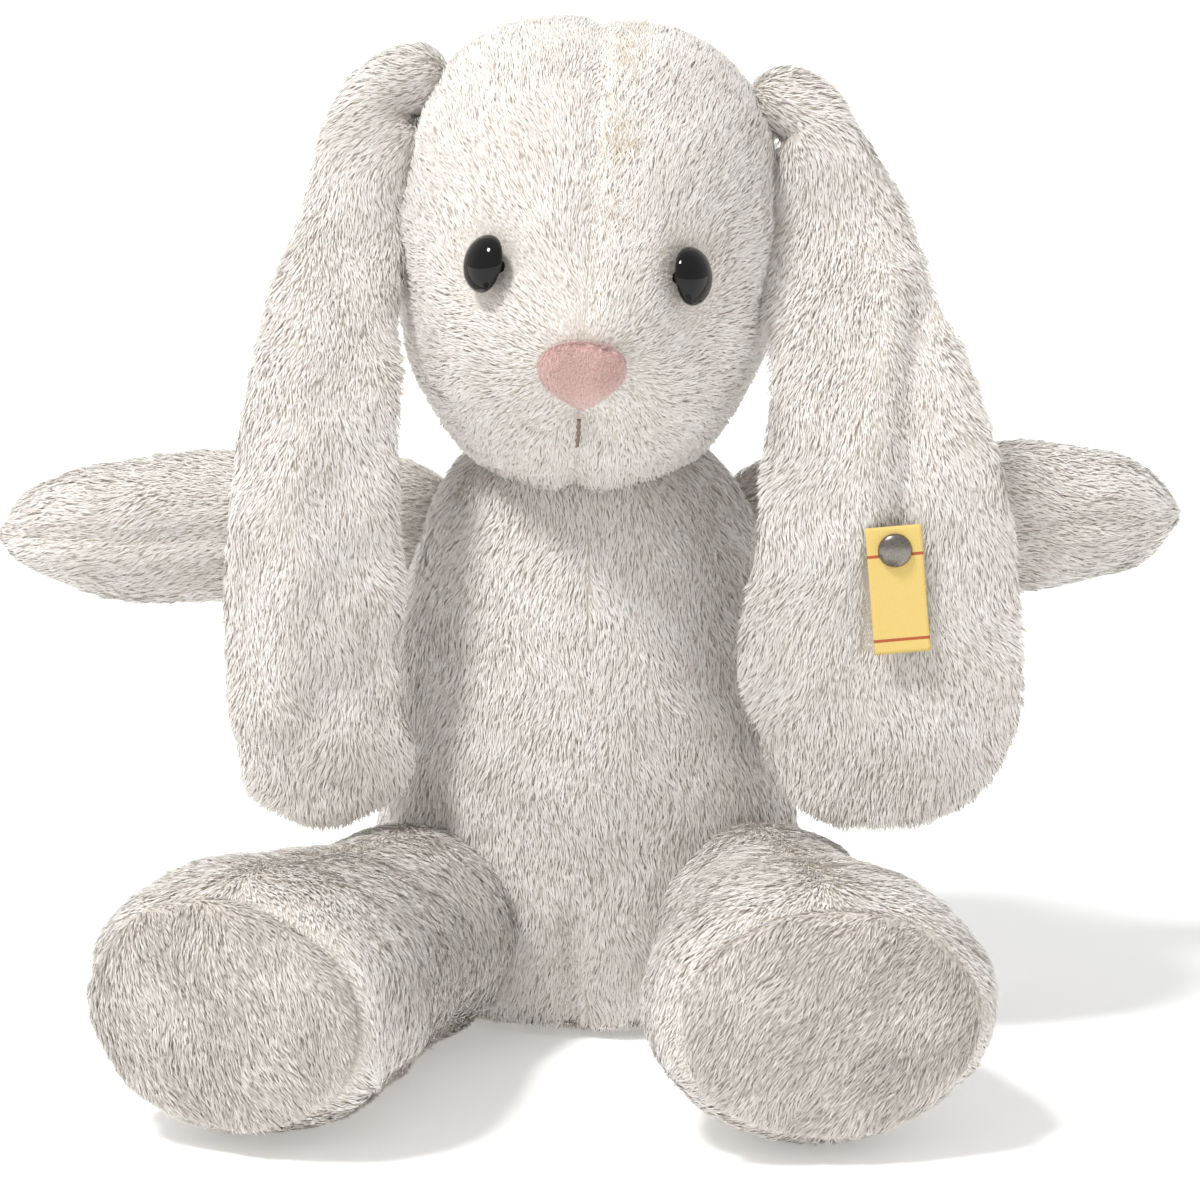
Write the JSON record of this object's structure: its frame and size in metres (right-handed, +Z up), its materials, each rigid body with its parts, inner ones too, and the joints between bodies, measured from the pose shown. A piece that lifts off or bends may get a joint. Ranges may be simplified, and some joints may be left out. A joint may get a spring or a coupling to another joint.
{
  "type": "stuffed bunny rabbit",
  "caption": "Sitting plush rabbit with long hanging ears, outstretched arms, splayed legs with oval soles, domed eyes, a velour nose pad and a small tag riveted to one ear.",
  "frame": {"origin": "middle of the torso's flat underside, on the surface that the rabbit sits on", "axes": "+Z up, the face and feet towards -Y, +X towards the rabbit's own left arm"},
  "size_m": [0.3224, 0.2302, 0.2697],
  "materials": {
    "plush_fur": "knitted plush with soft 8 mm polyester pile, pale warm grey, lighter at the tips",
    "filling": "loose white hollow polyester fibre",
    "thread": "twisted polyester sewing thread",
    "label_cloth": "plain white satin tape, unprinted",
    "eye_gloss": "polished black moulded eye",
    "white_plastic": "plain moulded white washer",
    "nose_velour": "short-pile pink velour",
    "steel": "plain polished steel, unmarked",
    "woven_tag": "yellow woven ribbon with plain stripes, no lettering"
  },
  "bodies": {
    "torso": {"torso_front_cover": "plush_fur", "torso_back_cover": "plush_fur", "torso_filling": "filling", "closing_stitch": "thread", "care_label": "label_cloth", "tail_cover": "plush_fur", "tail_filling": "filling"},
    "head": {"head_left_cover": "plush_fur", "head_right_cover": "plush_fur", "head_filling": "filling", "eye_left": "eye_gloss", "eye_right": "eye_gloss", "eye_washer_left": "white_plastic", "eye_washer_right": "white_plastic", "nose_pad": "nose_velour", "mouth_stitch": "thread"},
    "ear_left": {"ear_left_front_panel": "plush_fur", "ear_left_back_panel": "plush_fur", "ear_rivet": "steel", "ear_rivet_washer": "steel"},
    "ear_right": {"ear_right_front_panel": "plush_fur", "ear_right_back_panel": "plush_fur"},
    "tag": {"ear_tag": "woven_tag"},
    "arm_left": {"arm_left_upper_panel": "plush_fur", "arm_left_lower_panel": "plush_fur", "arm_left_filling": "filling"},
    "arm_right": {"arm_right_upper_panel": "plush_fur", "arm_right_lower_panel": "plush_fur", "arm_right_filling": "filling"},
    "leg_left": {"leg_left_inner_panel": "plush_fur", "leg_left_outer_panel": "plush_fur", "leg_left_sole": "plush_fur", "leg_left_filling": "filling"},
    "leg_right": {"leg_right_inner_panel": "plush_fur", "leg_right_outer_panel": "plush_fur", "leg_right_sole": "plush_fur", "leg_right_filling": "filling"}
  },
  "joints": [
    {"name": "neck_turn", "type": "hinge", "parent": "torso", "child": "head", "pos_m": [0, 0, 0.126], "axis": [0, 0, 1], "range_deg": [-8, 8]},
    {"name": "ear_left_lift", "type": "hinge", "parent": "head", "child": "ear_left", "pos_m": [0.04979, -0.01, 0.24529], "axis": [0, -1, 0], "range_deg": [0, 85]},
    {"name": "ear_right_lift", "type": "hinge", "parent": "head", "child": "ear_right", "pos_m": [-0.04438, -0.01, 0.25105], "axis": [0, 1, 0], "range_deg": [0, 85]},
    {"name": "tag_swing", "type": "hinge", "parent": "ear_left", "child": "tag", "pos_m": [0.07879, -0.05, 0.13532], "axis": [0, -1, 0], "range_deg": [-60, 60]},
    {"name": "arm_left_swing", "type": "hinge", "parent": "torso", "child": "arm_left", "pos_m": [0.05119, 0.018, 0.12852], "axis": [0, -1, 0], "range_deg": [-20, 35]},
    {"name": "arm_right_swing", "type": "hinge", "parent": "torso", "child": "arm_right", "pos_m": [-0.05119, 0.018, 0.12852], "axis": [0, 1, 0], "range_deg": [-20, 35]},
    {"name": "leg_left_splay", "type": "hinge", "parent": "torso", "child": "leg_left", "pos_m": [0.0468, -0.04399, 0.031], "axis": [0, 0, 1], "range_deg": [-3, 25]},
    {"name": "leg_right_splay", "type": "hinge", "parent": "torso", "child": "leg_right", "pos_m": [-0.0468, -0.04399, 0.031], "axis": [0, 0, -1], "range_deg": [-3, 25]}
  ]
}
